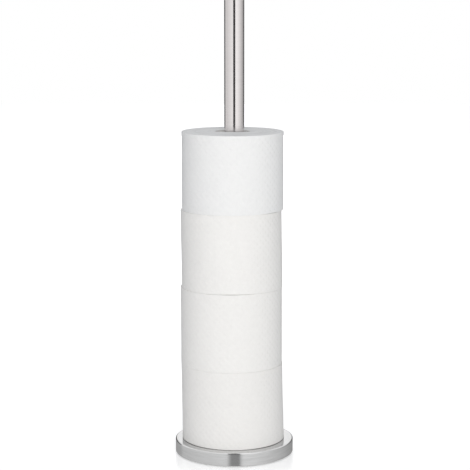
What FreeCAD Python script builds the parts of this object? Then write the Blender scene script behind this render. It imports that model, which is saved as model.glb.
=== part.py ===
import FreeCAD, Part
import math
import os

import Sketcher

# Free-standing holder for spare toilet rolls. A weighted round foot carries one upright tube, and four rolls
# are stacked over the tube. The origin is the centre of the foot on the floor, +Z points up and the front
# of the holder faces -Y.

# Driving dimensions, in millimetres
SIZES = {
    # Round foot: a drawn steel cover over a cast weight, on a soft pad
    "base_diameter": 145,
    "base_height": 17,
    "cover_sheet": 1,
    "cover_bend_radius": 0.3,
    "cover_floor_gap": 1.3,
    "weight_side_clearance": 0.5,
    "weight_edge_chamfer": 2,
    "pad_thickness": 1.5,
    "pad_edge_inset": 3,
    # Upright tube with a plug in each end
    "stand_height": 553,
    "post_diameter": 24,
    "post_wall": 1,
    "plug_clearance": 0.05,
    "cap_rim_height": 2,
    "cap_spigot_length": 9,
    "cap_edge_radius": 0.7,
    "cap_spigot_chamfer": 0.8,
    "insert_length": 22,
    "insert_chamfer": 1,
    "thread_clearance": 0.1,
    "thread_runout": 3,
    # Bolt that pulls the tube down onto the foot, with its two washers
    "bolt_diameter": 8,
    "bolt_length": 20,
    "bolt_head_diameter": 14,
    "bolt_head_height": 4.4,
    "bolt_head_round": 2.5,
    "bolt_tip_chamfer": 1,
    "bolt_socket_width": 5,
    "bolt_socket_depth": 2.6,
    "bolt_hole_clearance": 0.5,
    "flat_washer_diameter": 16,
    "flat_washer_thickness": 1.6,
    "spring_washer_diameter": 14.8,
    "spring_washer_thickness": 2,
    "spring_washer_slit": 1.6,
    "washer_bore_clearance": 0.2,
    "bolt_pocket_clearance": 1.5,
    # Toilet rolls: wound tissue on a board core, all four alike
    "roll_diameter": 123.5,
    "roll_height": 94.8,
    "roll_edge_radius": 1.6,
    "core_bore": 41,
    "core_wall": 0.7,
    # How far each roll sits off the axis of the tube, to the side and to the back
    "bottom_roll_aside": -2,
    "bottom_roll_back": 2.4,
    "lower_roll_aside": -3.3,
    "lower_roll_back": 2.8,
    "upper_roll_aside": -3.2,
    "upper_roll_back": 2,
    "top_roll_aside": -2.1,
    "top_roll_back": 1.5,
}

doc = FreeCAD.newDocument("RollHolder")
sheet = doc.addObject("Spreadsheet::Sheet", "Sizes")
for row, (alias, value) in enumerate(SIZES.items(), start=1):
    sheet.set(f"A{row}", alias)
    sheet.set(f"B{row}", str(value))
    sheet.setAlias(f"B{row}", alias)
doc.recompute()

# Sizes and heights that follow from the driving ones
COVER_HEIGHT = "(Sizes.base_height - Sizes.cover_floor_gap)"
COVER_EDGE = "(Sizes.cover_bend_radius + Sizes.cover_sheet)"
WEIGHT_DIAMETER = "(Sizes.base_diameter - 2 * (Sizes.cover_sheet + Sizes.weight_side_clearance))"
WEIGHT_HEIGHT = "(Sizes.base_height - Sizes.cover_sheet - Sizes.pad_thickness)"
PAD_DIAMETER = f"({WEIGHT_DIAMETER} - 2 * Sizes.pad_edge_inset)"
BOLT_HOLE = "(Sizes.bolt_diameter + 2 * Sizes.bolt_hole_clearance)"
BOLT_POCKET = "(Sizes.flat_washer_diameter + 2 * Sizes.bolt_pocket_clearance)"
BOLT_STACK = "(Sizes.bolt_head_height + Sizes.spring_washer_thickness + Sizes.flat_washer_thickness)"
POCKET_TOP = f"(Sizes.pad_thickness + {BOLT_STACK})"
WASHER_BORE = "(Sizes.bolt_diameter + 2 * Sizes.washer_bore_clearance)"
BOLT_TIP = "(Sizes.pad_thickness + Sizes.bolt_head_height + Sizes.bolt_length)"
TUBE_BORE = "(Sizes.post_diameter - 2 * Sizes.post_wall)"
TUBE_LENGTH = "(Sizes.stand_height - Sizes.base_height - Sizes.cap_rim_height)"
PLUG_DIAMETER = f"({TUBE_BORE} - 2 * Sizes.plug_clearance)"
THREAD_BORE = "(Sizes.bolt_diameter + 2 * Sizes.thread_clearance)"
THREAD_DEPTH = f"({BOLT_TIP} - Sizes.base_height + Sizes.thread_runout)"
CORE_DIAMETER = "(Sizes.core_bore + 2 * Sizes.core_wall)"

# The rolls from the foot upwards
ROLLS = ("bottom_roll", "lower_roll", "upper_roll", "top_roll")

# Two round edges are the same edge when they agree this closely
SAME_PLACE = 1e-4


def number(expression):
    """The value of an expression on the sheet, in millimetres."""
    return float(sheet.evalExpression(expression))


def new_body(label, height="0"):
    """An empty body that stands at a height above the floor."""
    body = doc.addObject("PartDesign::Body", label)
    body.Label = label
    body.setExpression("Placement.Base.z", height)
    return body


def new_sketch(body, name, height="0"):
    """A sketch parallel to the floor, at a height above the body's own origin."""
    sketch = body.newObject("Sketcher::SketchObject", name)
    planes = {plane.Role: plane for plane in body.Origin.OriginFeatures}
    sketch.AttachmentSupport = (planes["XY_Plane"], "")
    sketch.MapMode = "FlatFace"
    sketch.setExpression("AttachmentOffset.Base.z", height)
    return sketch


def circles(body, name, diameters, height="0"):
    """A sketch of circles about the body's axis: one makes a disc, two make a ring."""
    sketch = new_sketch(body, name, height)
    for diameter in diameters:
        circle = Part.Circle(FreeCAD.Vector(), FreeCAD.Vector(0, 0, 1), number(diameter) / 2)
        index = sketch.addGeometry(circle, False)
        sketch.addConstraint(Sketcher.Constraint("Coincident", index, 3, -1, 1))
        driving = sketch.addConstraint(Sketcher.Constraint("Diameter", index, number(diameter)))
        sketch.setExpression(f"Constraints[{driving}]", diameter)
    return sketch


def pad(body, name, sketch, length, downwards=False):
    """Adds material over a sketch."""
    feature = body.newObject("PartDesign::Pad", name)
    feature.Profile = sketch
    feature.setExpression("Length", length)
    feature.Reversed = downwards
    body.Tip = feature
    doc.recompute()
    return feature


def pocket(body, name, sketch, depth):
    """Cuts upwards from a sketch, and stops the build if the cut meets no material."""
    before = body.Shape.Volume
    feature = body.newObject("PartDesign::Pocket", name)
    feature.Profile = sketch
    feature.setExpression("Length", depth)
    feature.Reversed = True
    body.Tip = feature
    doc.recompute()
    if body.Shape.Volume >= before:
        raise RuntimeError(f"{name} of {body.Label} cuts nothing")
    return feature


def round_edges(feature, diameter, height):
    """Names of a feature's circular edges of one diameter at one height above the body's origin."""
    names = []
    for index, edge in enumerate(feature.Shape.Edges, start=1):
        if not isinstance(edge.Curve, Part.Circle):
            continue
        same_size = abs(edge.Curve.Radius - number(diameter) / 2) < SAME_PLACE
        same_height = abs(edge.Curve.Center.z - number(height)) < SAME_PLACE
        if same_size and same_height:
            names.append(f"Edge{index}")
    return names


def dress(body, kind, name, edges, size):
    """Rounds (Fillet, by Radius) or breaks (Chamfer, by Size) edges of the body's last feature."""
    base = body.Tip
    feature = body.newObject(f"PartDesign::{kind}", name)
    feature.Base = (base, edges)
    feature.setExpression("Radius" if kind == "Fillet" else "Size", size)
    body.Tip = feature
    doc.recompute()
    return feature


def ring(label, outer, inner, length, height="0"):
    """A plain ring: a washer, a pad, a tube or a core."""
    body = new_body(label, height)
    pad(body, label + "_ring", circles(body, label + "_section", [outer, inner]), length)
    return body


def make_base_cover():
    """Drawn steel cap of the foot: a disc with a rounded rim, hollowed from below to the sheet's thickness."""
    body = new_body("base_cover", "Sizes.cover_floor_gap")
    outline = circles(body, "cover_outline", ["Sizes.base_diameter"])
    disc = pad(body, "cover_disc", outline, COVER_HEIGHT)
    rim = round_edges(disc, "Sizes.base_diameter", COVER_HEIGHT)
    rounded = dress(body, "Fillet", "cover_rim", rim, COVER_EDGE)
    underside = min(range(len(rounded.Shape.Faces)), key=lambda i: rounded.Shape.Faces[i].CenterOfMass.z)
    shell = body.newObject("PartDesign::Thickness", "cover_shell")
    shell.Base = (rounded, [f"Face{underside + 1}"])
    shell.setExpression("Value", "Sizes.cover_sheet")
    shell.Reversed = True
    body.Tip = shell
    doc.recompute()
    bolt_hole = circles(body, "cover_bolt_hole_outline", [BOLT_HOLE])
    pocket(body, "cover_bolt_hole", bolt_hole, COVER_HEIGHT)
    return body


def make_base_weight():
    """Cast disc inside the cover, with a pocket underneath for the head of the bolt."""
    body = new_body("base_weight", "Sizes.pad_thickness")
    disc = pad(body, "weight_disc", circles(body, "weight_outline", [WEIGHT_DIAMETER]), WEIGHT_HEIGHT)
    rim = round_edges(disc, WEIGHT_DIAMETER, WEIGHT_HEIGHT)
    dress(body, "Chamfer", "weight_rim", rim, "Sizes.weight_edge_chamfer")
    pocket(body, "weight_bolt_pocket", circles(body, "weight_pocket_outline", [BOLT_POCKET]), BOLT_STACK)
    pocket(body, "weight_bolt_hole", circles(body, "weight_hole_outline", [BOLT_HOLE]), WEIGHT_HEIGHT)
    return body


def make_post_insert():
    """Plug in the lower end of the tube, tapped for the bolt."""
    body = new_body("post_insert", "Sizes.base_height")
    plug = pad(body, "insert_plug", circles(body, "insert_outline", [PLUG_DIAMETER]), "Sizes.insert_length")
    lead_in = round_edges(plug, PLUG_DIAMETER, "Sizes.insert_length")
    dress(body, "Chamfer", "insert_lead_in", lead_in, "Sizes.insert_chamfer")
    thread = pocket(body, "insert_thread", circles(body, "insert_thread_outline", [THREAD_BORE]), THREAD_DEPTH)
    mouth = round_edges(thread, THREAD_BORE, "0")
    dress(body, "Chamfer", "insert_mouth", mouth, "Sizes.insert_chamfer")
    return body


def make_post_cap():
    """Cap that closes the top of the tube: a rim as wide as the tube, with a spigot inside it."""
    body = new_body("post_cap", "Sizes.stand_height - Sizes.cap_rim_height")
    pad(body, "cap_rim", circles(body, "cap_rim_outline", ["Sizes.post_diameter"]), "Sizes.cap_rim_height")
    spigot_outline = circles(body, "cap_spigot_outline", [PLUG_DIAMETER])
    spigot = pad(body, "cap_spigot", spigot_outline, "Sizes.cap_spigot_length", downwards=True)
    lead_in = round_edges(spigot, PLUG_DIAMETER, "-Sizes.cap_spigot_length")
    chamfered = dress(body, "Chamfer", "cap_lead_in", lead_in, "Sizes.cap_spigot_chamfer")
    top_edge = round_edges(chamfered, "Sizes.post_diameter", "Sizes.cap_rim_height")
    dress(body, "Fillet", "cap_top_edge", top_edge, "Sizes.cap_edge_radius")
    return body


def hexagon(body, name, width):
    """A sketch of a regular hexagon about the body's axis, by its width across flats."""
    sketch = new_sketch(body, name)
    across_corners = f"({width} / cos(30 deg))"
    reach = number(across_corners) / 2
    turns = [math.radians(60 * k) for k in range(6)]
    corners = [FreeCAD.Vector(reach * math.cos(turn), reach * math.sin(turn), 0) for turn in turns]
    guide = sketch.addGeometry(Part.Circle(FreeCAD.Vector(), FreeCAD.Vector(0, 0, 1), reach), True)
    sketch.addConstraint(Sketcher.Constraint("Coincident", guide, 3, -1, 1))
    driving = sketch.addConstraint(Sketcher.Constraint("Diameter", guide, 2 * reach))
    sketch.setExpression(f"Constraints[{driving}]", across_corners)
    sides = [sketch.addGeometry(Part.LineSegment(corners[k - 1], corners[k]), False) for k in range(6)]
    for k, side in enumerate(sides):
        sketch.addConstraint(Sketcher.Constraint("Coincident", sides[k - 1], 2, side, 1))
        sketch.addConstraint(Sketcher.Constraint("PointOnObject", side, 1, guide))
        if k:
            sketch.addConstraint(Sketcher.Constraint("Equal", sides[0], side))
    sketch.addConstraint(Sketcher.Constraint("PointOnObject", sides[0], 2, -1))
    return sketch


def make_fixing_bolt():
    """Button-head bolt, head down, that goes up through the foot into the insert."""
    body = new_body("fixing_bolt", "Sizes.pad_thickness")
    head_outline = circles(body, "bolt_head_outline", ["Sizes.bolt_head_diameter"])
    head = pad(body, "bolt_head", head_outline, "Sizes.bolt_head_height")
    crown = round_edges(head, "Sizes.bolt_head_diameter", "0")
    dress(body, "Fillet", "bolt_crown", crown, "Sizes.bolt_head_round")
    shank_outline = circles(body, "bolt_shank_outline", ["Sizes.bolt_diameter"], "Sizes.bolt_head_height")
    shank = pad(body, "bolt_shank", shank_outline, "Sizes.bolt_length")
    tip = round_edges(shank, "Sizes.bolt_diameter", "Sizes.bolt_head_height + Sizes.bolt_length")
    dress(body, "Chamfer", "bolt_tip", tip, "Sizes.bolt_tip_chamfer")
    socket_outline = hexagon(body, "bolt_socket_outline", "Sizes.bolt_socket_width")
    pocket(body, "bolt_socket", socket_outline, "Sizes.bolt_socket_depth")
    return body


def make_spring_washer():
    """Split lock washer, pressed flat under the head of the bolt."""
    height = "Sizes.pad_thickness + Sizes.bolt_head_height"
    body = ring("spring_washer", "Sizes.spring_washer_diameter", WASHER_BORE,
                "Sizes.spring_washer_thickness", height)
    half_slit = number("Sizes.spring_washer_slit / 2")
    reach = number("Sizes.spring_washer_diameter")
    corners = [FreeCAD.Vector(x, y, 0) for x, y in
               ((0, -half_slit), (reach, -half_slit), (reach, half_slit), (0, half_slit))]
    sketch = new_sketch(body, "slit_outline")
    sides = [sketch.addGeometry(Part.LineSegment(corners[k], corners[(k + 1) % 4]), False) for k in range(4)]
    for k, side in enumerate(sides):
        sketch.addConstraint(Sketcher.Constraint("Coincident", sides[k - 1], 2, side, 1))
        direction = "Horizontal" if k % 2 == 0 else "Vertical"
        sketch.addConstraint(Sketcher.Constraint(direction, side))
    sketch.addConstraint(Sketcher.Constraint("Symmetric", sides[3], 1, sides[3], 2, -1, 1))
    for side, length, size in ((0, reach, "Sizes.spring_washer_diameter"),
                               (1, 2 * half_slit, "Sizes.spring_washer_slit")):
        driving = sketch.addConstraint(Sketcher.Constraint("Distance", sides[side], length))
        sketch.setExpression(f"Constraints[{driving}]", size)
    pocket(body, "slit", sketch, "Sizes.spring_washer_thickness")
    return body


def make_roll(name, foot_height):
    """One toilet roll: the wound tissue with softened rims, and the board core that it is wound on."""
    paper = ring(name + "_paper", "Sizes.roll_diameter", CORE_DIAMETER, "Sizes.roll_height", foot_height)
    rims = [edge for level in ("0", "Sizes.roll_height")
            for edge in round_edges(paper.Tip, "Sizes.roll_diameter", level)]
    dress(paper, "Fillet", name + "_rims", rims, "Sizes.roll_edge_radius")
    core = ring(name + "_core", CORE_DIAMETER, "Sizes.core_bore", "Sizes.roll_height", foot_height)
    for body in (paper, core):
        body.setExpression("Placement.Base.x", f"Sizes.{name}_aside")
        body.setExpression("Placement.Base.y", f"Sizes.{name}_back")
    return [paper, core]


def make_holder():
    """The pieces of the stand, from the floor upwards."""
    return [
        ring("floor_pad", PAD_DIAMETER, BOLT_POCKET, "Sizes.pad_thickness"),
        make_base_weight(),
        make_base_cover(),
        make_fixing_bolt(),
        make_spring_washer(),
        ring("flat_washer", "Sizes.flat_washer_diameter", WASHER_BORE, "Sizes.flat_washer_thickness",
             f"{POCKET_TOP} - Sizes.flat_washer_thickness"),
        ring("post_tube", "Sizes.post_diameter", TUBE_BORE, TUBE_LENGTH, "Sizes.base_height"),
        make_post_insert(),
        make_post_cap(),
    ]


def make_rolls():
    """The stack of rolls: each one stands on the one below it, and the lowest on the foot."""
    pieces = []
    foot_height = "Sizes.base_height"
    for name in ROLLS:
        pieces += make_roll(name, foot_height)
        foot_height += " + Sizes.roll_height"
    return pieces


pieces = make_holder() + make_rolls()
doc.recompute()

for item in doc.Objects:
    if "Invalid" in item.State or "Error" in item.State:
        raise RuntimeError(f"{item.Label} failed: {item.State}")
for piece in pieces:
    if piece.Shape.isNull() or not piece.Shape.isValid():
        raise RuntimeError(f"{piece.Label} has no valid shape")

os.makedirs("parts", exist_ok=True)
for piece in pieces:
    piece.Shape.exportStep(f"parts/{piece.Label}.step")
    box = piece.Shape.BoundBox
    print(f"{piece.Label}: {piece.Shape.Volume / 1000:.2f} cm3, z {box.ZMin:.2f} to {box.ZMax:.2f} mm")
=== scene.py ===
# %% [markdown]
# # A stand for spare toilet rolls
#
# The object is a brushed steel tube on a round weighted foot, with four tissue rolls lowered over the
# tube. The packed construction already holds every piece at its real size and in its real place. The
# fastener, the weight and the board cores keep their solids and get finishes here. The polished steel and
# the pad are turned again with finer facets, and the tissue is modelled again, because wound paper is
# never a perfect cylinder.

import math

import bmesh
import bpy
from mathutils import Euler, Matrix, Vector


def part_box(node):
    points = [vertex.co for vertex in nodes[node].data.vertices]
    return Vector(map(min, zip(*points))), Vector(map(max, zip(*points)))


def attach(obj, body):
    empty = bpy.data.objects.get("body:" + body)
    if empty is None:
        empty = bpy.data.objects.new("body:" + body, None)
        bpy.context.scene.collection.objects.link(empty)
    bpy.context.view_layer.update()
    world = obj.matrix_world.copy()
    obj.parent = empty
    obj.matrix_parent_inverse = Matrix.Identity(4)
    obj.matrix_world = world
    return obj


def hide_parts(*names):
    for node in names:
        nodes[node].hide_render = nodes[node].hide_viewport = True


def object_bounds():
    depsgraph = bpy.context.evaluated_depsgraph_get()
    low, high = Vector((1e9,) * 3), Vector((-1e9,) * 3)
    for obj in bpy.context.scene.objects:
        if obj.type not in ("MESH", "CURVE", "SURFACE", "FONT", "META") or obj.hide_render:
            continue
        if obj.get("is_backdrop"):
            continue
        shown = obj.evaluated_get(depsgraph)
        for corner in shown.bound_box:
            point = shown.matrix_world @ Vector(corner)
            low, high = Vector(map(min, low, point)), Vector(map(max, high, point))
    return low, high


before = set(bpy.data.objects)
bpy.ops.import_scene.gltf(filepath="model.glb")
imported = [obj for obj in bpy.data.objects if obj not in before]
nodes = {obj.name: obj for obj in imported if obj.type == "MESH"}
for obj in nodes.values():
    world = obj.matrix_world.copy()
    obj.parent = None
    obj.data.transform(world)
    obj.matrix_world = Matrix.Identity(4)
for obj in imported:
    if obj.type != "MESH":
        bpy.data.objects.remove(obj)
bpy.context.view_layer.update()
MM = 0.001

# %% [markdown]
# ## The camera
#
# The photograph looks slightly down from just under two metres away, with a long lens: the seams between
# the rolls are nearly straight, and the foot is a shallow oval. The height, the distance and the lens could
# be tried by hand, but a tall object gives enough known heights to work them out. With the values below,
# the tube's top, the seams and the foot's two edges all fall within about a pixel of the picture's.

# %% Place the camera
EYE = Vector((0.0, -1.806, 0.5395))
RIGHT_ANGLE = math.radians(90)
LOOK_DOWN = math.radians(8.490)
LOOK_ASIDE = math.radians(0.0286)
LENS = 114.91
SENSOR_WIDTH = 36


def add_object(name, data):
    """Makes an object and puts it in the scene."""
    added = bpy.data.objects.new(name, data)
    bpy.context.scene.collection.objects.link(added)
    return added


camera_data = bpy.data.cameras.new("camera")
camera_data.lens = LENS
camera_data.sensor_width = SENSOR_WIDTH
camera = add_object("camera", camera_data)
camera.location = EYE
camera.rotation_euler = Euler((RIGHT_ANGLE - LOOK_DOWN, 0, -LOOK_ASIDE))
bpy.context.scene.camera = camera
bpy.context.scene.view_settings.view_transform = "Standard"
print("camera height in mm:", round(EYE.z / MM), "- lens:", LENS)

# %% [markdown]
# ## A wire: node maths in plain Python
#
# Finishes and node-made shapes are both trees of small nodes. They can be wired one link at a time, but
# then a short formula takes a page. This class wraps one socket, and Python's own operators add the Math
# nodes, so `1 - mask * 0.5` reads as the formula it is. One method adds any other node: its settings first,
# because some of them change which sockets it has, and then the values or links of its sockets.

# %% The wire class
MIX_SHARE, MIX_FIRST, MIX_SECOND = 0, 6, 7
MIX_RESULT = 2


def set_stops(ramp, stops):
    """Gives a colour ramp these (position, colour) stops, in rising order."""
    first, last = ramp.elements[0], ramp.elements[1]
    first.position, first.color = stops[0]
    last.position, last.color = stops[-1]
    for position, colour in stops[1:-1]:
        ramp.elements.new(position).color = colour


class Wire:
    """One socket of a node tree. Operators on it add Math nodes."""

    def __init__(self, tree, socket=None):
        self.tree = tree
        self.socket = socket

    def node(self, kind, settings=None, sockets=None, output=0):
        """Adds a node: its settings first, then the values or links of its sockets."""
        added = self.tree.nodes.new(kind)
        for name, value in (settings or {}).items():
            if name == "stops":
                set_stops(added.color_ramp, value)
            else:
                setattr(added, name, value)
        for name, value in (sockets or {}).items():
            if isinstance(value, Wire):
                self.tree.links.new(value.socket, added.inputs[name])
            else:
                added.inputs[name].default_value = value
        return Wire(self.tree, added.outputs[output])

    def into(self, node, name):
        """Links this wire to a socket of a node that is already there."""
        self.tree.links.new(self.socket, node.inputs[name])

    def math(self, operation, *values):
        """One Math node."""
        return self.node("ShaderNodeMath", {"operation": operation}, dict(enumerate(values)))

    def __add__(self, other):
        return self.math("ADD", self, other)

    def __sub__(self, other):
        return self.math("SUBTRACT", self, other)

    def __rsub__(self, other):
        return self.math("SUBTRACT", other, self)

    def __mul__(self, other):
        return self.math("MULTIPLY", self, other)

    def __truediv__(self, other):
        return self.math("DIVIDE", self, other)

    def __rtruediv__(self, other):
        return self.math("DIVIDE", other, self)

    def __pow__(self, other):
        return self.math("POWER", self, other)

    def __rpow__(self, other):
        return self.math("POWER", other, self)

    def __abs__(self):
        return self.math("ABSOLUTE", self)

    __radd__ = __add__
    __rmul__ = __mul__

    def at_least(self, other):
        """The larger of two numbers."""
        return self.math("MAXIMUM", self, other)

    def at_most(self, other):
        """The smaller of two numbers."""
        return self.math("MINIMUM", self, other)

    def ease(self, low, high):
        """Rises smoothly from 0 at low to 1 at high."""
        ends = {"Value": self, "From Min": low, "From Max": high}
        return self.node("ShaderNodeMapRange", {"interpolation_type": "SMOOTHSTEP"}, ends)

    def between(self, low, high):
        """Turns 0 to 1 into low to high."""
        return low + (high - low) * self

    def mixed(self, other, share):
        """This number and another, with this share of the other."""
        return self * (1 - share) + other * share

    def hypot(self, other):
        """The straight distance that two steps at a right angle make."""
        return (self * self + other * other) ** 0.5

    def axes(self):
        """The three numbers of a vector."""
        split = self.node("ShaderNodeSeparateXYZ", None, {0: self}).socket.node
        return [Wire(self.tree, output) for output in split.outputs]

    def vector(self, x, y, z):
        """A vector from three numbers."""
        return self.node("ShaderNodeCombineXYZ", None, {0: x, 1: y, 2: z})

    def noise(self, x, y, z, seed, detail):
        """Smooth noise from 0 to 1, about one bump to each unit of x, y, z and seed."""
        sockets = {"Vector": self.vector(x, y, z), "W": seed, "Scale": 1, "Detail": detail}
        return self.node("ShaderNodeTexNoise", {"noise_dimensions": "4D"}, sockets)

    def grain(self, place, steps, seed, detail):
        """Noise that is alike in all directions, with this many steps to the metre."""
        x, y, z = place
        return self.noise(x * steps, y * steps, z * steps, seed, detail)

    def blend(self, first, second, share):
        """A colour between two colours, by the Mix node's own colour sockets."""
        sockets = {MIX_SHARE: share, MIX_FIRST: first, MIX_SECOND: second}
        return self.node("ShaderNodeMix", {"data_type": "RGBA"}, sockets, MIX_RESULT)


print("a wire knows:", ", ".join(name for name in vars(Wire) if not name.startswith("_")))

# %% [markdown]
# ## The studio
#
# Brushed steel is a mirror that is blurred one way, so it shows mostly what stands round it. In the
# photograph the tube is pale with one dark upright line, and its two edges are dark: a white tent on both
# sides, the dark gap in front where the camera looks in, and dark flags further back. That tent could be
# built from panels, but a world that answers by direction does the same with no panels in other views.
# Rays that come from the lens see plain white, rays that come off metal see the tent, and rays off matt
# surfaces see even soft light. Each row below is an angle from the camera's side in degrees, the tent's
# level at eye height, and its level near the floor, where the white ground softens it. A ceiling, the ground
# and a grey sky in front fade in over these, between two edges each, by how steep or how far to the back
# or the front a direction is. The grey sky keeps the foot's top from looking black from behind.

# %% The tent's levels
TENT = (
    (-180, 1.20, 0.32), (-177, 1.15, 0.32), (-172, 0.05, 0.34), (-127, 0.04, 0.50), (-121, 0.86, 0.56),
    (-97, 0.72, 0.62), (-67, 0.86, 0.66), (-41, 0.95, 0.70), (-22, 1.02, 0.73), (-16, 1.02, 0.725),
    (-13.8, 1.02, 0.69), (-10.8, 0.00, 0.60), (-8.6, 0.00, 0.50), (-5.5, 0.00, 0.345), (8.5, 0.00, 0.335),
    (10.6, 0.00, 0.44), (13.6, 1.14, 0.60), (18.5, 1.14, 0.75), (29, 1.12, 0.76), (41, 1.07, 0.74),
    (53, 0.98, 0.70), (67, 0.87, 0.66), (81, 0.73, 0.61), (97, 0.60, 0.55), (118, 0.41, 0.48),
    (130, 0.15, 0.44), (172, 0.05, 0.28), (177, 1.15, 0.30), (180, 1.20, 0.32),
)
ANGLE, AT_EYE, NEAR_FLOOR = 0, 1, 2
DEGREES_ROUND = 360
TENT_PEAK = 1.25
LOW_EDGES = (-0.30, -0.12)
CEILING = 1.02
CEILING_EDGES = (0.22, 0.45)
CEILING_BACK = (-0.10, 0.30)
GROUND = 0.60
GROUND_EDGES = (0.40, 0.75)
FRONT_SKY = 0.28
FRONT_SKY_EDGES = (0.10, 0.20)
FRONT_SIDE = (0.30, 0.80)
print("stops of the tent:", len(TENT))

# %% The tent that metal sees
SOFT_LIGHT = (0.398, 0.406, 0.419, 1)
FRONT_STOP = 0.5


def grey(level):
    """A colour without a tint."""
    return (level, level, level, 1)


WHITE = grey(1)
world = bpy.data.worlds.new("studio")
bpy.context.scene.world = world
world.use_nodes = True
world.cycles.sampling_method = "NONE"
sky = Wire(world.node_tree)
east, north, up = sky.node("ShaderNodeTexCoord", output="Generated").axes()
turn = sky.math("ARCTAN2", east, 0 - north) / math.tau + FRONT_STOP


def tent_ring(column):
    """One ring of the tent, from its column of the table."""
    stops = [(FRONT_STOP + row[ANGLE] / DEGREES_ROUND, grey(row[column] / TENT_PEAK)) for row in TENT]
    return sky.node("ShaderNodeValToRGB", {"stops": stops}, {"Fac": turn}) * TENT_PEAK


tent = up.ease(*LOW_EDGES).between(tent_ring(NEAR_FLOOR), tent_ring(AT_EYE))
tent = tent + (CEILING - tent) * up.ease(*CEILING_EDGES) * north.ease(*CEILING_BACK)
tent = tent + (GROUND - tent) * (0 - up).ease(*GROUND_EDGES)
front_sky = FRONT_SKY * up.ease(*FRONT_SKY_EDGES) * (0 - north).ease(*FRONT_SIDE)
tent = tent.at_least(front_sky)
off_metal = sky.node("ShaderNodeLightPath", output="Is Glossy Ray")
from_lens = sky.node("ShaderNodeLightPath", output="Is Camera Ray")
seen = sky.blend(sky.blend(SOFT_LIGHT, tent, off_metal), WHITE, from_lens)
seen.into(world.node_tree.nodes["Background"], "Color")
print("nodes of the world:", len(world.node_tree.nodes))

# %% [markdown]
# ## Three soft boxes
#
# The rolls are palest in the middle and greyer towards both edges, so a broad light stands behind the
# camera. The top face is nearly as pale as the edges, so a weaker one hangs overhead, and a third keeps the
# back as white as the front. All are large, because tissue in the photograph has no hard shadow line, and
# all stay out of the metal, which already sees the tent.

# %% Hang the soft boxes
AIM = Vector((0.0, 0.0, 0.24))
SOFT_BOXES = {
    "front_box": {"place": (0.22, -4.5, 1.50), "side": 2.3, "watts": 111, "colour": (1.0, 0.985, 0.96)},
    "top_box": {"place": (0.0, -0.5, 2.6), "side": 1.4, "watts": 4.0, "colour": (0.96, 0.98, 1.0)},
    "back_box": {"place": (-0.35, 4.5, 1.10), "side": 2.3, "watts": 85, "colour": (0.985, 0.99, 1.0)},
}


def hang_soft_box(name, place, side, watts, colour):
    """A square light that looks at the rolls and that neither the lens nor metal sees."""
    data = bpy.data.lights.new(name, "AREA")
    data.shape = "SQUARE"
    data.size = side
    data.energy = watts
    data.color = colour
    lamp = add_object(name, data)
    lamp.location = place
    sight = AIM - Vector(place)
    lamp.rotation_euler = sight.to_track_quat("-Z", "Y").to_euler()
    lamp.visible_glossy = False
    lamp.visible_camera = False
    print(name, "distance in mm:", round(sight.length / MM))


for name, box in SOFT_BOXES.items():
    hang_soft_box(name, **box)

# %% [markdown]
# ## The floor
#
# The floor is white and a little shiny: under the foot there is a thin shadow and a faint mirror image that
# soon fades. More light would burn out the rolls, so the floor itself adds some white for rays from the
# lens, little near the foot, where the shadow has to show, and more further away. From below it is
# see-through, so that the underside can be looked at.

# %% Lay the floor
FLOOR_HALF = 7.0

floor_mesh = bpy.data.meshes.new("floor")
corners = [(-1, -1), (1, -1), (1, 1), (-1, 1)]
floor_mesh.from_pydata([(x * FLOOR_HALF, y * FLOOR_HALF, 0) for x, y in corners], [], [(0, 1, 2, 3)])
floor = add_object("floor", floor_mesh)
floor.visible_glossy = False
floor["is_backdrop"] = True
print("floor side in m:", 2 * FLOOR_HALF)

# %% Paint the floor
BLACK = grey(0)
FLOOR_WHITE = grey(0.9)
FLOOR_SHINE = 0.16
FLOOR_ROUGHNESS = 0.18
GLOW = (0.41, 0.80)
GLOW_EDGES = (0.10, 0.60)

paint = bpy.data.materials.new("white_floor")
paint.use_nodes = True
matt = paint.node_tree.nodes["Principled BSDF"]
matt.inputs["Base Color"].default_value = FLOOR_WHITE
matt.inputs["Specular IOR Level"].default_value = 0
matt.inputs["Emission Strength"].default_value = 1
lane = Wire(paint.node_tree)
place = lane.node("ShaderNodeTexCoord", output="Object")
away = lane.node("ShaderNodeVectorMath", {"operation": "LENGTH"}, {0: place}, "Value")
glow = away.ease(*GLOW_EDGES).between(*GLOW)
glow = glow * lane.node("ShaderNodeLightPath", output="Is Camera Ray")
lane.blend(BLACK, WHITE, glow).into(matt, "Emission Color")
dull = Wire(lane.tree, matt.outputs["BSDF"])
polish = lane.node("ShaderNodeBsdfGlossy", None, {"Color": WHITE, "Roughness": FLOOR_ROUGHNESS})
shiny = lane.node("ShaderNodeMixShader", None, {0: FLOOR_SHINE, 1: dull, 2: polish})
below = lane.node("ShaderNodeNewGeometry", output="Backfacing")
clear = lane.node("ShaderNodeBsdfTransparent")
sides = lane.node("ShaderNodeMixShader", None, {0: below, 1: shiny, 2: clear})
sides.into(paint.node_tree.nodes["Material Output"], "Surface")
floor_mesh.materials.append(paint)
print("the floor's own white, near and far:", GLOW)

# %% [markdown]
# ## Finishes
#
# Each finish is one Principled shader. A number that is the same all over is set on the shader's own
# socket, and only what changes over the surface is wired. The next cell makes the shader, and the cells
# after it add what each real surface shows. There, edges, tones and tints are the two ends of a smooth
# rise, a roughness is its least and its most, and a relief is a depth and a strength.

# %% Start a finish
def start_finish(name, **constants):
    """A material, its shader with these constant sockets, and a wire to build on."""
    material = bpy.data.materials.new(name)
    material.use_nodes = True
    shader = material.node_tree.nodes["Principled BSDF"]
    for socket, value in constants.items():
        shader.inputs[socket.replace("_", " ")].default_value = value
    return material, shader, Wire(material.node_tree)


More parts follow.
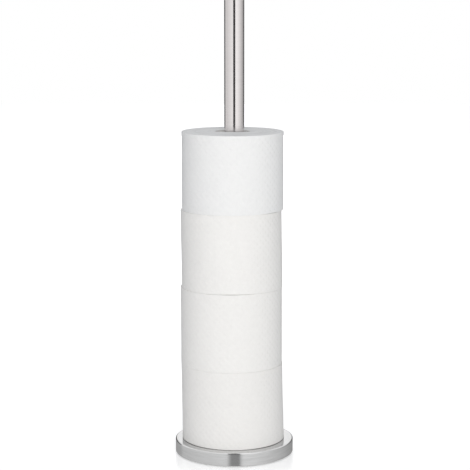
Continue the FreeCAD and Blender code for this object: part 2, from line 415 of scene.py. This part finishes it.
def raise_surface(wire, shader, height, distance, strength):
    """Feeds a height into the shader's normal."""
    sockets = {"Height": height, "Distance": distance, "Strength": strength}
    wire.node("ShaderNodeBump", None, sockets).into(shader, "Normal")


def dress(material, *names):
    """Puts a finish in the slots of these nodes of the frame."""
    for name in names:
        for slot in nodes[name].material_slots:
            slot.material = material
    print(material.name, "dresses:", ", ".join(names))


print("a finish can dress:", ", ".join(sorted(nodes)))

# %% [markdown]
# ## Brushed steel
#
# The tube, its cap and the foot's cover are brushed while they spin, so the scratches run round the axis:
# rings on the walls and circles on the flat top. A scratch picture could be wrapped round, but noise can be
# squeezed instead. It is read at many steps to the millimetre along the radius and the height, and slowly
# across, so that each bump is drawn out into a long scratch. The shader's own anisotropy does the wide
# blur. On the flat tops the steel's colour is painted a little darker: painted shade.

# %% Brushed steel
FINE_SCRATCHES = 3000
WIDE_SCRATCHES = 420
WIDE_SHARE = 0.45
SCRATCH_RUN = 45
SCRATCH_TONES = (0.28, 0.72)
SCRATCH_RELIEF = (0.02 * MM, 0.15)
QUARTER_TURN = 0.25
ROOF_EDGE = 0.4 * MM
ROOF_PAINTED_SHADE = 0.145


def brushed_steel(name, dark, pale, smooth, rough, stretch, roof):
    """Steel with scratches that run round the upright axis, with painted shade on a roof at this height."""
    material, shader, wire = start_finish(
        name, Metallic=1, Anisotropic=stretch, Anisotropic_Rotation=QUARTER_TURN
    )
    x, y, z = wire.node("ShaderNodeTexCoord", output="Object").axes()
    reach = x.hypot(y)
    run_x, run_y = x * SCRATCH_RUN, y * SCRATCH_RUN
    fine = wire.noise(reach * FINE_SCRATCHES, z * FINE_SCRATCHES, run_x, run_y, detail=3)
    wide = wire.noise(reach * WIDE_SCRATCHES, z * WIDE_SCRATCHES, run_x, run_y, detail=2)
    scratches = fine.mixed(wide, WIDE_SHARE)
    colour = wire.blend(dark, pale, scratches.ease(*SCRATCH_TONES))
    # Painted shade: on the flat top the colour is blended a little towards black.
    painted_roof_shade = z.ease(roof - ROOF_EDGE, roof) * ROOF_PAINTED_SHADE
    wire.blend(colour, BLACK, painted_roof_shade).into(shader, "Base Color")
    scratches.between(smooth, rough).into(shader, "Roughness")
    raise_surface(wire, shader, fine, *SCRATCH_RELIEF)
    return material


tube_steel = brushed_steel(
    "tube_steel", dark=(0.748, 0.713, 0.709, 1), pale=(0.799, 0.764, 0.760, 1),
    smooth=0.13, rough=0.18, stretch=0.95, roof=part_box("post_cap")[1][2],
)
foot_steel = brushed_steel(
    "foot_steel", dark=(0.685, 0.687, 0.688, 1), pale=(0.798, 0.800, 0.801, 1),
    smooth=0.09, rough=0.15, stretch=0.85, roof=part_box("base_cover")[1][2],
)
print("scratches to the millimetre:", FINE_SCRATCHES * MM)

# %% [markdown]
# ## Turned steel
#
# The tube, its cap and the foot's cover are all round, and polished steel shows every facet of a coarse
# mesh as a kink in its reflections. So these three are turned again on the frame's own sizes, with many
# columns and with smooth shading that breaks only at real edges. A section is a list of radius and height
# that climbs on the outside, and the normals are worked out afresh once the doubles on the axis are
# merged. A ring close to each rounded edge keeps the flat parts flat.

# %% Parts of a section
ROUND_STEPS = 9


def quarter(radius_at, height_at, radius, down=False):
    """A quarter circle about a point of the section, from outwards to upwards, or back."""
    steps = [RIGHT_ANGLE * k / ROUND_STEPS for k in range(ROUND_STEPS + 1)]
    if down:
        steps.reverse()
    return [(radius_at + radius * math.cos(turn), height_at + radius * math.sin(turn)) for turn in steps]


def bore_of(node):
    """The radius of the hole through a node: the least distance of its points from the axis."""
    return min(math.hypot(point.co.x, point.co.y) for point in nodes[node].data.vertices)


print("bore of the tube in mm:", round(2 * bore_of("post_tube") / MM, 2))

# %% The lathe
LATHE_COLUMNS = 160
SHARP_TURN = math.radians(32)
WELD = 0.001 * MM


def turn_piece(name, section, finish, node):
    """Turns a closed section about the upright axis, in the place of a node."""
    count = len(section)
    points, faces = [], []
    for column in range(LATHE_COLUMNS):
        turn = math.tau * column / LATHE_COLUMNS
        points += [(radius * math.cos(turn), radius * math.sin(turn), height) for radius, height in section]
        here, ahead = column * count, (column + 1) % LATHE_COLUMNS * count
        for k in range(count):
            above = (k + 1) % count
            faces.append((here + k, ahead + k, ahead + above, here + above))
    mesh = bpy.data.meshes.new(name)
    mesh.from_pydata(points, [], faces)
    shape = bmesh.new()
    shape.from_mesh(mesh)
    bmesh.ops.remove_doubles(shape, verts=shape.verts, dist=WELD)
    bmesh.ops.recalc_face_normals(shape, faces=shape.faces)
    shape.to_mesh(mesh)
    shape.free()
    mesh.shade_smooth()
    mesh.set_sharp_from_angle(angle=SHARP_TURN)
    mesh.materials.append(finish)
    piece = add_object(name, mesh)
    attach(piece, "stand")
    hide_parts(node)
    print(name, "faces:", len(mesh.polygons))


print("columns on the lathe:", LATHE_COLUMNS)

# %% [markdown]
# ### Three sections
#
# A section has only the corners that the real piece has. The tube is a plain wall. The cap has a spigot
# that goes into the tube, with a chamfer to lead it in, and a rounded upper edge. The cover is a shallow
# cup of sheet, upside down, with a hole for the bolt. The large sizes come from the frame, and the small
# ones repeat those of the construction.

# %% Turn the tube
low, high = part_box("post_tube")
skin, bore = high[0], bore_of("post_tube")
tube_top = high[2]
turn_piece(
    "turned_tube", [(skin, low[2]), (skin, tube_top), (bore, tube_top), (bore, low[2])],
    tube_steel, "post_tube",
)

# %% Turn the cap
PLUG_CLEARANCE = 0.05 * MM
SPIGOT_CHAMFER = 0.8 * MM
CAP_EDGE = 0.7 * MM
EDGE_RING = 0.1 * MM

low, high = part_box("post_cap")
plug = bore - PLUG_CLEARANCE
shoulder = high[2] - CAP_EDGE
spigot = [(0, low[2]), (plug - SPIGOT_CHAMFER, low[2]), (plug, low[2] + SPIGOT_CHAMFER), (plug, tube_top)]
turn_piece(
    "turned_cap",
    spigot + [(skin, tube_top), (skin, shoulder - EDGE_RING)]
    + quarter(skin - CAP_EDGE, shoulder, CAP_EDGE)
    + [(skin - CAP_EDGE - EDGE_RING, high[2]), (0, high[2])],
    tube_steel, "post_cap",
)

# %% Turn the cover
COVER_SHEET = 1 * MM
COVER_EDGE = 1.3 * MM

low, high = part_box("base_cover")
wide, knee = high[0], high[2] - COVER_EDGE
roof = high[2] - COVER_SHEET
hole = bore_of("base_cover")
turn_piece(
    "turned_cover",
    [(wide, low[2]), (wide, knee - EDGE_RING)] + quarter(wide - COVER_EDGE, knee, COVER_EDGE)
    + [(wide - COVER_EDGE - EDGE_RING, high[2]), (hole, high[2]), (hole, roof)]
    + [(wide - COVER_EDGE - EDGE_RING, roof)]
    + quarter(wide - COVER_EDGE, knee, COVER_EDGE - COVER_SHEET, down=True)
    + [(wide - COVER_SHEET, knee - EDGE_RING), (wide - COVER_SHEET, low[2])],
    foot_steel, "base_cover",
)

# %% [markdown]
# ## The fastener
#
# Underneath, a bolt with two washers goes up into a tapped plug in the tube and pulls the tube onto the
# foot. All four are zinc plated: bright, with clouds where the film took a tint. A picture of zinc would
# show a seam on a bolt, but noise has none. One at the size of the clouds tints the metal, and a much finer
# one roughens it.

# %% Zinc plate
ZINC_CLOUDS = 220
ZINC_GRAIN = 5200
ZINC_TINTS = (0.35, 0.70)
CLOUD_ROUGHNESS = (0.24, 0.38)
GRAIN_BLUR = 0.06
ZINC_RELIEF = (0.03 * MM, 0.3)


def zinc_plate():
    """Bright zinc with a cloudy, slightly coloured film."""
    material, shader, wire = start_finish("zinc_plated_steel", Metallic=1)
    place = wire.node("ShaderNodeTexCoord", output="Object").axes()
    cloud = wire.grain(place, ZINC_CLOUDS, seed=0, detail=4)
    grain = wire.grain(place, ZINC_GRAIN, seed=0, detail=2)
    cool, warm = (0.64, 0.67, 0.70, 1), (0.74, 0.71, 0.63, 1)
    wire.blend(cool, warm, cloud.ease(*ZINC_TINTS)).into(shader, "Base Color")
    (cloud.between(*CLOUD_ROUGHNESS) + grain * GRAIN_BLUR).into(shader, "Roughness")
    raise_surface(wire, shader, grain, *ZINC_RELIEF)
    return material


dress(zinc_plate(), "fixing_bolt", "spring_washer", "flat_washer", "post_insert")

# %% [markdown]
# ## The weight
#
# The heavy disc inside the cover is a raw casting, dark, with the grain of the sand it was cast in and some
# rust-brown clouds. It shows only from below. The grain could be modelled, but it is far finer than the
# disc, so it is left to the bump, and a coarse noise lays the clouds.

# %% Raw casting
CAST_SAND = 1500
CAST_CLOUDS = 70
RUST_EDGES = (0.45, 0.75)
CAST_ROUGHNESS = (0.55, 0.80)
CAST_RELIEF = (0.25 * MM, 0.7)


def raw_casting():
    """Dark cast metal with sand grain and a few rust-brown clouds."""
    material, shader, wire = start_finish("cast_weight", Metallic=0.65)
    place = wire.node("ShaderNodeTexCoord", output="Object").axes()
    sand = wire.grain(place, CAST_SAND, seed=0, detail=3)
    cloud = wire.grain(place, CAST_CLOUDS, seed=4, detail=4)
    dark, brown = (0.105, 0.108, 0.112, 1), (0.150, 0.125, 0.105, 1)
    wire.blend(dark, brown, cloud.ease(*RUST_EDGES)).into(shader, "Base Color")
    sand.between(*CAST_ROUGHNESS).into(shader, "Roughness")
    raise_surface(wire, shader, sand, *CAST_RELIEF)
    return material


dress(raw_casting(), "base_weight")

# %% [markdown]
# ## The pad
#
# A ring of dense black foam keeps the foot off the floor. Foam is closed cells side by side, which is what
# a Voronoi texture draws, so its distances raise the surface, and noise adds some dust. The ring is as
# round as the cover, so the lathe turns it as well.

# %% Foam pad
FOAM_CELLS = 1600
FOAM_DUST = 160
FOAM_ROUGHNESS = (0.72, 0.92)
FOAM_RELIEF = (0.12 * MM, 0.6)


def foam_pad():
    """Dense black foam with fine closed cells."""
    material, shader, wire = start_finish("soft_pad", Specular_IOR_Level=0.3)
    place = wire.node("ShaderNodeTexCoord", output="Object")
    cells = wire.node("ShaderNodeTexVoronoi", None, {"Vector": place, "Scale": FOAM_CELLS}, "Distance")
    dust = wire.grain(place.axes(), FOAM_DUST, seed=0, detail=3)
    black, dusty = (0.016, 0.016, 0.017, 1), (0.034, 0.034, 0.035, 1)
    wire.blend(black, dusty, dust).into(shader, "Base Color")
    dust.between(*FOAM_ROUGHNESS).into(shader, "Roughness")
    raise_surface(wire, shader, cells, *FOAM_RELIEF)
    return material


low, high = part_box("floor_pad")
wide, hole = high[0], bore_of("floor_pad")
turn_piece(
    "turned_pad", [(wide, low[2]), (wide, high[2]), (hole, high[2]), (hole, low[2])],
    foam_pad(), "floor_pad",
)

# %% [markdown]
# ## Core board
#
# Each roll is wound on a tube of grey board, itself wound from two strips at a slant. The overlap is a thin
# spiral line. It could be drawn on an unrolled picture, but height and angle together make a spiral: where
# `height / lead - angle`, counted in turns, is halfway between two whole numbers, the strips meet. Each
# core stands a little off the axis, so the pattern is centred on its own core.

# %% Board cores
STRIP_LEAD = 74 * MM
JOINT_EDGES = (0.004, 0.012)
FIBRES = 900
FLECKS_ROUND, FLECKS_UP = 300, 1400
FLECK_EDGES = (0.62, 0.80)
MARK_SHADE = 0.4
FIBRE_HEIGHT = 0.4
BOARD_ROUGHNESS = (0.80, 0.95)
BOARD_RELIEF = (0.15 * MM, 0.5)


def centred_axes(wire, middle):
    """The three Object coordinates, counted from a piece's own middle."""
    place = wire.node("ShaderNodeTexCoord", output="Object")
    centring = {"Vector": place, "Location": (-middle.x, -middle.y, -middle.z)}
    return wire.node("ShaderNodeMapping", None, centring).axes()


def core_board(name, middle):
    """Grey board with a slanting joint, round an upright axis through middle."""
    material, shader, wire = start_finish(name, Specular_IOR_Level=0.25)
    x, y, z = centred_axes(wire, middle)
    climb = z / STRIP_LEAD - wire.math("ARCTAN2", y, x) / math.tau
    joint = abs(wire.math("FRACT", climb) - 0.5)
    gap = 1 - joint.ease(*JOINT_EDGES)
    fibre = wire.grain((x, y, z), FIBRES, seed=0, detail=4)
    fleck = wire.noise(x * FLECKS_ROUND, y * FLECKS_ROUND, z * FLECKS_UP, seed=7, detail=2)
    board, mark = (0.74, 0.735, 0.72, 1), (0.58, 0.57, 0.55, 1)
    marks = fibre * MARK_SHADE + fleck.ease(*FLECK_EDGES) * MARK_SHADE + gap * MARK_SHADE
    wire.blend(board, mark, marks).into(shader, "Base Color")
    fibre.between(*BOARD_ROUGHNESS).into(shader, "Roughness")
    raise_surface(wire, shader, fibre * FIBRE_HEIGHT - gap, *BOARD_RELIEF)
    return material


print("lead of the strips in mm:", round(STRIP_LEAD / MM))

# %% Dress the cores
ROLLS = ("bottom_roll", "lower_roll", "upper_roll", "top_roll")


def middle_of(node):
    """The middle of a node's box."""
    low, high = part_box(node)
    return (Vector(low) + Vector(high)) / 2


for roll in ROLLS:
    dress(core_board(roll + "_board", middle_of(roll + "_core")), roll + "_core")

# %% [markdown]
# ## Tissue
#
# Tissue is creped: it is scraped off a drum, which leaves fine wrinkles across the sheet, so they stand
# upright on the roll. Rows of small pressed dots hold its plies together, and on the end faces one sees the
# edges of hundreds of turns. This follows the paper, not the space, so the roll's own attributes carry
# it: `along` is the way along the sheet, `across` the height on the roll, `reach` the distance from the
# axis, and `press` how deep a dot is. Only the slow change round the end faces is read from the roll's
# middle. The paper is matt, and the rolls differ slightly in tint.

# %% Tissue finish
CREPE_ALONG = 1700
CREPE_ACROSS = 240
CREPE_REACH = 400
PAPER_CLOUDS = 160
CLOUD_SHARE = 0.5
PAPER_TONES = (0.25, 0.70)
DOT_PAINTED_SHADE = 0.2
TURNS_SEEN, TURN_RUN = 1100, 22
BANDS_SEEN, BAND_RUN = 210, 9
BAND_SHARE = 0.38
TURN_TONES = (0.22, 0.56)
TURN_GAP_PAINTED_SHADE = 0.80
END_TILT = (0.55, 0.85)
TURN_HEIGHT = 2.2
PAPER_ROUGHNESS = (0.88, 0.98)
PAPER_RELIEF = (0.13 * MM, 0.6)


def tissue(name, middle, pale, shade):
    """Creped paper, with the edges of its turns on the end faces, for a roll about middle, and painted shade
    in its dots and between its turns.
    """
    material, shader, wire = start_finish(name, Specular_IOR_Level=0.12)
    along, across, reach, press = (
        wire.node("ShaderNodeAttribute", {"attribute_name": part}, output="Fac")
        for part in ("along", "across", "reach", "press")
    )
    up = wire.node("ShaderNodeNewGeometry", output="True Normal").axes()[2]
    ends = abs(up).ease(*END_TILT)
    crepe = wire.noise(along * CREPE_ALONG, across * CREPE_ACROSS, reach * CREPE_REACH, seed=0, detail=3)
    cloud = wire.grain((along, across, reach), PAPER_CLOUDS, seed=3, detail=3)
    tone = crepe.mixed(cloud, CLOUD_SHARE).ease(*PAPER_TONES)
    # Painted shade: the colour is darker in each pressed dot, by how deep it is.
    side = wire.blend(shade, pale, tone - press * DOT_PAINTED_SHADE)
    x, y, _ = centred_axes(wire, middle)
    turns = wire.noise(reach * TURNS_SEEN, x * TURN_RUN, y * TURN_RUN, seed=5, detail=4)
    bands = wire.noise(reach * BANDS_SEEN, x * BAND_RUN, y * BAND_RUN, seed=9, detail=2)
    # Painted shade: between the turns, where their relief is low, the end faces go down to this darker tint.
    gap = tuple(part * TURN_GAP_PAINTED_SHADE for part in shade[:3]) + (1,)
    rims = wire.blend(gap, pale, turns.mixed(bands, BAND_SHARE).ease(*TURN_TONES))
    wire.blend(side, rims, ends).into(shader, "Base Color")
    crepe.between(*PAPER_ROUGHNESS).into(shader, "Roughness")
    raise_surface(wire, shader, crepe * (1 - ends) + turns * TURN_HEIGHT * ends, *PAPER_RELIEF)
    return material


print("wrinkles to the millimetre:", CREPE_ALONG * MM)

# %% The rolls' tints
WARM_TISSUE = ((0.910, 0.902, 0.886, 1), (0.875, 0.866, 0.851, 1))
TISSUES = {
    "bottom_roll": ((0.900, 0.890, 0.874, 1), (0.865, 0.855, 0.840, 1)),
    "lower_roll": WARM_TISSUE,
    "upper_roll": WARM_TISSUE,
    "top_roll": ((0.895, 0.897, 0.896, 1), (0.860, 0.862, 0.862, 1)),
}
print("tissues:", ", ".join(TISSUES))

# %% [markdown]
# ## The wound roll
#
# A roll follows a rule, so a node tree makes it: a rectangle is divided finely, its outer corners are
# rounded, and it is swept round a circle. Then each point moves by what wound paper does. The sheet's end
# steps down by a few plies and lifts a little, rows of pressed dots dent the side, weak lines of
# perforation cross it, the whole is slightly out of round, and the turns stand unevenly on the end faces.
# A lathed mesh with modifiers could get close, but not with dots that follow the sheet.

# %% The roll's inputs
NUMBER, COUNT, VECTOR = "NodeSocketFloat", "NodeSocketInt", "NodeSocketVector"
ROLL_INPUTS = {
    "Radius": NUMBER, "Core Radius": NUMBER, "Height": NUMBER, "Rim": NUMBER,
    "Columns": COUNT, "Side Cuts": COUNT, "End Cuts": COUNT, "Crowding": NUMBER,
    "Tail Angle": NUMBER, "Tail Step": NUMBER, "Tail Lift": NUMBER, "Sheet Length": NUMBER,
    "Dots Around": COUNT, "Dot Pitch": NUMBER, "Dot Depth": NUMBER, "Wobble": NUMBER, "Swell": NUMBER,
    "Turn Depth": NUMBER, "Flare": NUMBER, "Seed": NUMBER, "Lean": VECTOR, "Shift": VECTOR,
    "First Lift": VECTOR, "Second Lift": VECTOR, "Face Tilt": NUMBER, "Inner Lift": VECTOR, "Centre": VECTOR,
    "Tissue": "NodeSocketMaterial",
}

roll_tree = bpy.data.node_groups.new("wound_roll", "GeometryNodeTree")
for name, kind in ROLL_INPUTS.items():
    roll_tree.interface.new_socket(name, in_out="INPUT", socket_type=kind)
roll_tree.interface.new_socket("Geometry", in_out="OUTPUT", socket_type="NodeSocketGeometry")
roll_start = roll_tree.nodes.new("NodeGroupInput")
size = {name: Wire(roll_tree, roll_start.outputs[name]) for name in ROLL_INPUTS}
sweep = Wire(roll_tree)
print("inputs of a roll:", len(size))

# %% [markdown]
# ### Its section
#
# The rectangle's four sides come in a fixed order: end face, bore, end face, outer side. So the index says
# how finely each is cut, and the bore, which the core hides, isn't cut at all. The cuts crowd towards the
# corners, where the rim is round.

# %% Cut the rectangle
FIRST_END, SECOND_END, OUTER_SIDE = 0, 2, 3
NEARLY = 0.5

wall = size["Radius"] - size["Core Radius"]
outline = sweep.node(
    "GeometryNodeCurvePrimitiveQuadrilateral", {"mode": "RECTANGLE"},
    {"Width": wall, "Height": size["Height"]},
)
side = sweep.node("GeometryNodeInputIndex")
on_ends = sweep.math("COMPARE", side, FIRST_END, NEARLY) + sweep.math("COMPARE", side, SECOND_END, NEARLY)
on_side = sweep.math("COMPARE", side, OUTER_SIDE, NEARLY)
cuts = on_ends * size["End Cuts"] + on_side * size["Side Cuts"]
outline = sweep.node("GeometryNodeSubdivideCurve", None, {"Curve": outline, "Cuts": cuts})
print("nodes for the rectangle:", len(roll_tree.nodes))

# %% Round its rims and sweep it
flat_x, flat_y, _ = sweep.node("GeometryNodeInputPosition").axes()


def crowd(place, whole):
    """Pushes points outwards from the middle, without moving the ends."""
    share = place / whole * 2
    return place * (1 + size["Crowding"] * (1 - share * share))


wide_x = crowd(flat_x, wall)
tall_y = crowd(flat_y, size["Height"])
over_x = (wide_x - (wall / 2 - size["Rim"])).at_least(0)
over_y = (abs(tall_y) - (size["Height"] / 2 - size["Rim"])).at_least(0)
pull = 1 - (size["Rim"] / over_x.hypot(over_y)).at_most(1)
round_x = wide_x - over_x * pull
round_y = tall_y - over_y * pull * sweep.math("SIGN", tall_y)
outline = sweep.node(
    "GeometryNodeSetPosition", None, {"Geometry": outline, "Position": sweep.vector(round_x, round_y, 0)}
)

circle = sweep.node(
    "GeometryNodeCurvePrimitiveCircle", {"mode": "RADIUS"},
    {"Resolution": size["Columns"], "Radius": size["Core Radius"] + wall / 2},
)
body = sweep.node("GeometryNodeCurveToMesh", None, {"Curve": circle, "Profile Curve": outline})
print("nodes for the section:", len(roll_tree.nodes))

# %% [markdown]
# ### Where each point is on the sheet
#
# Before anything moves, each point stores how far along the sheet, how high and how far out it is, and how
# deep a pressed dot is there. The dots stand in staggered rows where two cosine waves are both high or both
# low, some patches are pressed less than others, and all fade out at the rims. The finish reads all four
# values later.

# %% Store the sheet's own places
DOT_FADE = 3 * MM
PATCHES = 90
PATCH_EDGES = (0.25, 0.75)
PATCH_PRESS = (0.45, 1)

x, y, z = sweep.node("GeometryNodeInputPosition").axes()
reach = x.hypot(y)
share = sweep.math("FRACT", (sweep.math("ARCTAN2", y, x) - size["Tail Angle"]) / math.tau + 1)
along = share * size["Radius"] * math.tau
half = size["Height"] / 2
off_rims = 1 - abs(z).ease(half - DOT_FADE, half)
on_skin = reach.ease(size["Radius"] - size["Rim"], size["Radius"])
ring = sweep.math("COSINE", share * size["Dots Around"] * math.tau)
row = sweep.math("COSINE", z / size["Dot Pitch"] * math.tau)
patch = sweep.noise(along * PATCHES, z * PATCHES, 0, size["Seed"], detail=2).ease(*PATCH_EDGES)
press = (ring * row).at_least(0) * patch.between(*PATCH_PRESS) * on_skin * off_rims
sheet_places = {"along": along, "across": z, "reach": reach, "press": press}
for name, value in sheet_places.items():
    body = sweep.node(
        "GeometryNodeStoreNamedAttribute", {"data_type": "FLOAT", "domain": "POINT"},
        {"Geometry": body, "Name": name, "Value": value},
    )
print("stored:", ", ".join(sheet_places))

# %% [markdown]
# ### What wound paper does to the side
#
# Each effect is one line of height, in or out along the radius. The sheet's end curls up a little, and
# over the whole turn the skin sinks by the step that the end makes. The perforations and the dots press
# in, and the roll bulges, swells and flares. The depth into the wall, from 0 at the core to 1 at the
# skin, makes an effect fade inwards, so that the bore stays on its core.

# %% Move the side in and out
TAIL_CURL = 14 * MM
TAIL_FADE = 8
SLIT_HALF = 1.3 * MM
SLIT_DEPTH = 0.10 * MM
BULGES = 26
BULGE_SEED = 20
FLARE_FADE = 4

depth_in = (reach - size["Core Radius"]) / wall
tail = size["Tail Lift"] * math.e ** (along / -TAIL_CURL) - size["Tail Step"] * share
sheets = along / size["Sheet Length"]
from_slit = abs(sheets - sweep.math("ROUND", sheets)) * size["Sheet Length"]
slit = (1 - from_slit / SLIT_HALF).at_least(0) * SLIT_DEPTH
bumps = sweep.grain((x, y, z), BULGES, size["Seed"] + BULGE_SEED, detail=1)
bulge = (bumps - 0.5) * 2 * size["Wobble"]
flare = size["Flare"] * (0.5 - z / size["Height"]) ** FLARE_FADE
outward = tail * depth_in ** TAIL_FADE + (bulge + size["Swell"] + flare) * depth_in
outward = outward - press * size["Dot Depth"] - slit * on_skin * off_rims
print("nodes with the side:", len(roll_tree.nodes))

# %% [markdown]
# ### What it does to the end faces
#
# The edges of the turns stand unevenly, and less so in the outermost turns, where the rim stays a clean
# line. A rim can also stand up on one side. Such a lift is a vector: its first two numbers point to that
# side, their length is how far the rim stands up, and the third is how sharply the lift falls off beside
# it. At the foot the outer rim lifts, and at the top the face tilts and its inner turns stand up.

# %% Move the end faces up and down
FACE_START = 0.5
OUTER_TURNS = (0.86, 0.97)
OUTER_CALM = 0.85
EDGE_TURNS, EDGE_RUN = 900, 22
EDGE_SEED = 40
FACE_WAVES, WAVE_RUN = 60, 10
WAVE_SEED = 60
WAVE_SHARE = 0.4
LIFT_HEIGHT = 25 * MM
LIFT_FADE = 6
CREST_FADE = 4

on_faces = abs(z).ease(half - size["Rim"] * FACE_START, half)
on_faces = on_faces * (1 - OUTER_CALM * depth_in.ease(*OUTER_TURNS))
turns = sweep.noise(reach * EDGE_TURNS, x * EDGE_RUN, y * EDGE_RUN, size["Seed"] + EDGE_SEED, detail=3)
waves = sweep.noise(x * FACE_WAVES, y * FACE_WAVES, z * WAVE_RUN, size["Seed"] + WAVE_SEED, detail=1)
inward = turns.mixed(waves, WAVE_SHARE) * size["Turn Depth"] * on_faces


def lift_towards(push):
    """How far a rim stands up, on the side that the first two numbers of a vector point to."""
    aside, back, sharpness = push.axes()
    amount = aside.hypot(back)
    facing = (x * aside + y * back) / (reach * amount)
    return amount * facing.at_least(0) ** sharpness


near_foot = (0 - z).ease(half - LIFT_HEIGHT, half) * depth_in ** LIFT_FADE
lift = (lift_towards(size["First Lift"]) + lift_towards(size["Second Lift"])) * near_foot
near_top = z.ease(half - LIFT_HEIGHT, half)
slope = size["Face Tilt"] * y / size["Radius"] * depth_in
crest = lift_towards(size["Inner Lift"]) * (1 - depth_in).at_least(0) ** CREST_FADE
climb = lift + (slope + crest) * near_top - inward * sweep.math("SIGN", z)
print("nodes with the end faces:", len(roll_tree.nodes))

# %% [markdown]
# ### All moves together
#
# Outwards is a scale from the axis, and a lean is a sideways step that grows with the height. Last, the
# roll goes to its place, and the tree ends with a plain mesh and its finish.

# %% Set the new places
scale = 1 + outward / reach
lean_x, lean_y, _ = size["Lean"].axes()
shift_x, shift_y, _ = size["Shift"].axes()
height_share = z / size["Height"]
moved_x = x * scale + (lean_x * height_share + shift_x) * depth_in
moved_y = y * scale + (lean_y * height_share + shift_y) * depth_in
moved = sweep.vector(moved_x, moved_y, z + climb)
placed = sweep.node("ShaderNodeVectorMath", {"operation": "ADD"}, {0: moved, 1: size["Centre"]})
body = sweep.node("GeometryNodeSetPosition", None, {"Geometry": body, "Position": placed})
body = sweep.node("GeometryNodeSetShadeSmooth", None, {"Geometry": body, "Shade Smooth": True})
body = sweep.node("GeometryNodeRealizeInstances", None, {"Geometry": body})
body = sweep.node("GeometryNodeSetMaterial", None, {"Geometry": body, "Material": size["Tissue"]})
body.into(roll_tree.nodes.new("NodeGroupOutput"), "Geometry")
print("nodes for a whole roll:", len(roll_tree.nodes))

# %% [markdown]
# ## Four rolls
#
# Each roll takes its size and place from its own solid in the frame. The sheets end at the back, each at
# its own angle, and three rolls lean by up to two millimetres, as rolls that were dropped over the tube do.
# The top roll's upper face rises slightly to the back, and its inner turns stand up in front. A modifier's
# input goes by its socket's identifier, which the keys look up. The tree's result becomes a plain mesh,
# which then replaces the plain solid and rides with its body.

# %% Each roll's own values
COLUMNS = 430
NO_LIFT = (0, 0, 1)
SHARED = {
    "Rim": 0.2 * MM, "Columns": COLUMNS, "Side Cuts": 104, "End Cuts": 40, "Crowding": 0.25,
    "Tail Step": 0.45 * MM, "Tail Lift": 0.5 * MM, "Sheet Length": 125 * MM,
    "Dots Around": 46, "Dot Pitch": 8.6 * MM, "Dot Depth": 0.32 * MM, "Wobble": 0.35 * MM,
    "Turn Depth": 0.25 * MM, "Lean": (0, 0, 0), "Shift": (0, 0, 0), "Swell": 0.0, "Flare": 0.0,
    "First Lift": NO_LIFT, "Second Lift": NO_LIFT, "Face Tilt": 0.0, "Inner Lift": NO_LIFT,
}
OWN = {
    "bottom_roll": {
        "Tail Angle": 78, "Seed": 1, "Lean": (-1.7 * MM, 0, 0), "Swell": 0.7 * MM, "Flare": 0.7 * MM,
        "First Lift": (0.55 * MM, -0.09 * MM, 1), "Second Lift": (-0.5 * MM, -0.09 * MM, 1),
    },
    "lower_roll": {"Tail Angle": 104, "Seed": 2, "Lean": (-0.3 * MM, 0, 0), "Swell": 0.5 * MM},
    "upper_roll": {
        "Tail Angle": 62, "Seed": 3, "Lean": (-1.4 * MM, 0, 0), "Shift": (0.1 * MM, 0, 0),
        "First Lift": (0, -0.45 * MM, 14), "Second Lift": (0.22 * MM, -0.15 * MM, 6),
    },
    "top_roll": {
        "Tail Angle": 121, "Seed": 4, "Shift": (0.2 * MM, 0, 0), "Swell": 0.1 * MM,
        "First Lift": (0.64 * MM, -0.35 * MM, 9),
        "Face Tilt": 0.95 * MM, "Inner Lift": (0, -1.0 * MM, 1),
    },
}
print("values that the rolls share:", len(SHARED))

# %% Wind the rolls
KEYS = {item.name: item.identifier for item in roll_tree.interface.items_tree if item.in_out == "INPUT"}


def between_columns(degrees):
    """An angle close to this one, midway between two columns."""
    step = math.tau / COLUMNS
    return (round(math.radians(degrees) / step) + 0.5) * step


def wind_roll(roll):
    """One roll as a plain mesh, in the place of its solid."""
    low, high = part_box(roll + "_paper")
    core_low, core_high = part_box(roll + "_core")
    middle = middle_of(roll + "_paper")
    values = dict(SHARED, **OWN[roll])
    values["Tail Angle"] = between_columns(values["Tail Angle"])
    values["Radius"] = (high[0] - low[0]) / 2
    values["Core Radius"] = (core_high[0] - core_low[0]) / 2
    values["Height"] = high[2] - low[2]
    values["Centre"] = tuple(middle)
    values["Tissue"] = tissue(roll + "_tissue", middle, *TISSUES[roll])
    blank = add_object(roll + "_blank", bpy.data.meshes.new(roll + "_blank"))
    winder = blank.modifiers.new("wound_roll", "NODES")
    winder.node_group = roll_tree
    for name, value in values.items():
        winder[KEYS[name]] = value
    shape = blank.evaluated_get(bpy.context.evaluated_depsgraph_get())
    mesh = bpy.data.meshes.new_from_object(shape)
    bpy.data.objects.remove(blank)
    return add_object(roll + "_tissue", mesh)


for roll in ROLLS:
    piece = wind_roll(roll)
    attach(piece, roll)
    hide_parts(roll + "_paper")
    print(piece.name, "faces:", len(piece.data.polygons), "finish:", piece.data.materials[0].name)

# %% [markdown]
# ## Measure
#
# The dressed paper stands a little proud of its construction, as paper does. The box of all that is drawn,
# but the floor, is measured and printed in millimetres.

# %% Measure the sizes
low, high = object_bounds()
print("box in mm:", [round((b - a) / MM, 1) for a, b in zip(low, high)])
